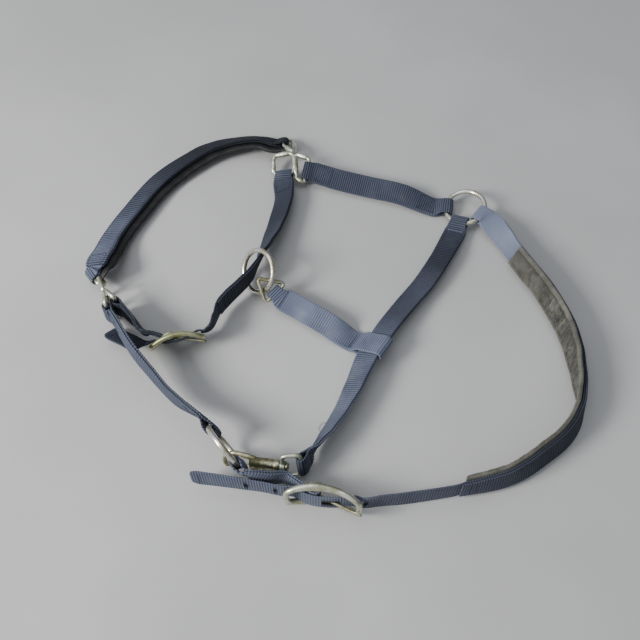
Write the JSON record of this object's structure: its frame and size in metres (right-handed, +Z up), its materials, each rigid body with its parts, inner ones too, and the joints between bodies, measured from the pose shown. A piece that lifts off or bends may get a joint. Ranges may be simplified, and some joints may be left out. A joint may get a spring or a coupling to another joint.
{
  "type": "horse head halter",
  "caption": "Webbing head halter laid flat: padded noseband and crown, chin strap, throat strap with snap, buckles, rings and cast squares.",
  "frame": {"origin": "centre of the bounding box at its bottom face, the surface the halter lies on", "axes": "+X from the noseband end to the crown end, +Z up from the surface"},
  "size_m": [0.5216, 0.494, 0.0573],
  "materials": {
    "webbing_slate_blue": "woven ribbed nylon, worn",
    "lining_black": "soft padded synthetic leather",
    "pad_khaki": "wrinkled suede",
    "ring_nickel": "worn nickel plate",
    "cast_brass_worn": "dull cast metal with patina",
    "steel_spring": "bare wire"
  },
  "bodies": {
    "halter": {"chin_buckle_tab": "webbing_slate_blue", "chin_strap": "webbing_slate_blue", "connector_strap": "webbing_slate_blue", "crown_buckle_tab": "webbing_slate_blue", "crown_padding": "pad_khaki", "crown_strap": "webbing_slate_blue", "nearside_cheek_strap": "webbing_slate_blue", "nearside_nose_square": "cast_brass_worn", "noseband_padding": "lining_black", "noseband_webbing": "webbing_slate_blue", "offside_cheek_strap": "webbing_slate_blue", "offside_nose_square": "cast_brass_worn", "snap_swivel_eye": "cast_brass_worn", "throat_strap": "webbing_slate_blue"},
    "offside_upper_ring": {"offside_upper_ring": "ring_nickel"},
    "nearside_upper_ring": {"nearside_upper_ring": "ring_nickel"},
    "triangle_loop": {"triangle_loop": "cast_brass_worn"},
    "lead_ring": {"lead_ring": "ring_nickel"},
    "snap_body": {"snap_body": "cast_brass_worn", "snap_spring": "steel_spring"},
    "snap_bolt": {"snap_bolt": "ring_nickel"},
    "crown_buckle_frame": {"crown_buckle_frame": "cast_brass_worn"},
    "crown_buckle_tongue": {"crown_buckle_tongue": "ring_nickel"},
    "chin_buckle_frame": {"chin_buckle_frame": "cast_brass_worn"},
    "chin_buckle_tongue": {"chin_buckle_tongue": "ring_nickel"}
  },
  "joints": [
    {"name": "offside_ring_spin", "type": "hinge", "parent": "halter", "child": "offside_upper_ring", "pos_m": [0.16689, 0.12179, 0.01204], "axis": [-0.2205, -0.0802, 0.9721], "continuous": true},
    {"name": "nearside_ring_spin", "type": "hinge", "parent": "halter", "child": "nearside_upper_ring", "pos_m": [-0.08891, -0.18621, 0.03284], "axis": [0.76, 0.6, 0.25], "continuous": true},
    {"name": "triangle_loop_swing", "type": "hinge", "parent": "halter", "child": "triangle_loop", "pos_m": [-0.04997, -0.00296, 0.01484], "axis": [0.6921, 0.6724, 0.2624], "range_deg": [-3, 2.5]},
    {"name": "lead_ring_spin", "type": "hinge", "parent": "triangle_loop", "child": "lead_ring", "pos_m": [-0.06902, 0.01939, 0.02444], "axis": [-0.6683, -0.4638, 0.5815], "continuous": true},
    {"name": "snap_swivel", "type": "hinge", "parent": "halter", "child": "snap_body", "pos_m": [-0.03612, -0.19871, 0.01834], "axis": [0.978, -0.1691, 0.122], "range_deg": [-14, 14]},
    {"name": "snap_bolt_slide", "type": "slide", "parent": "snap_body", "child": "snap_bolt", "axis": [0.978, -0.1691, 0.122], "range_m": [0, 0.007], "stiffness_N_per_m": 150, "deforming": ["snap_spring"]},
    {"name": "crown_buckle_tilt", "type": "hinge", "parent": "halter", "child": "crown_buckle_frame", "pos_m": [-0.00668, -0.226, 0.02164], "axis": [0, 0, 1], "range_deg": [-1.5, 1.5]},
    {"name": "crown_tongue_swing", "type": "hinge", "parent": "crown_buckle_frame", "child": "crown_buckle_tongue", "pos_m": [-0.00668, -0.226, 0.02164], "axis": [0, 0, 1], "range_deg": [-5, 0]},
    {"name": "chin_buckle_tilt", "type": "hinge", "parent": "halter", "child": "chin_buckle_frame", "pos_m": [-0.15494, -0.06158, 0.02237], "axis": [0.141, -0.5261, 0.8387], "range_deg": [-2.5, 0.5]},
    {"name": "chin_tongue_swing", "type": "hinge", "parent": "chin_buckle_frame", "child": "chin_buckle_tongue", "pos_m": [-0.15494, -0.06158, 0.02237], "axis": [0.141, -0.5261, 0.8387], "range_deg": [-3, 0]}
  ]
}
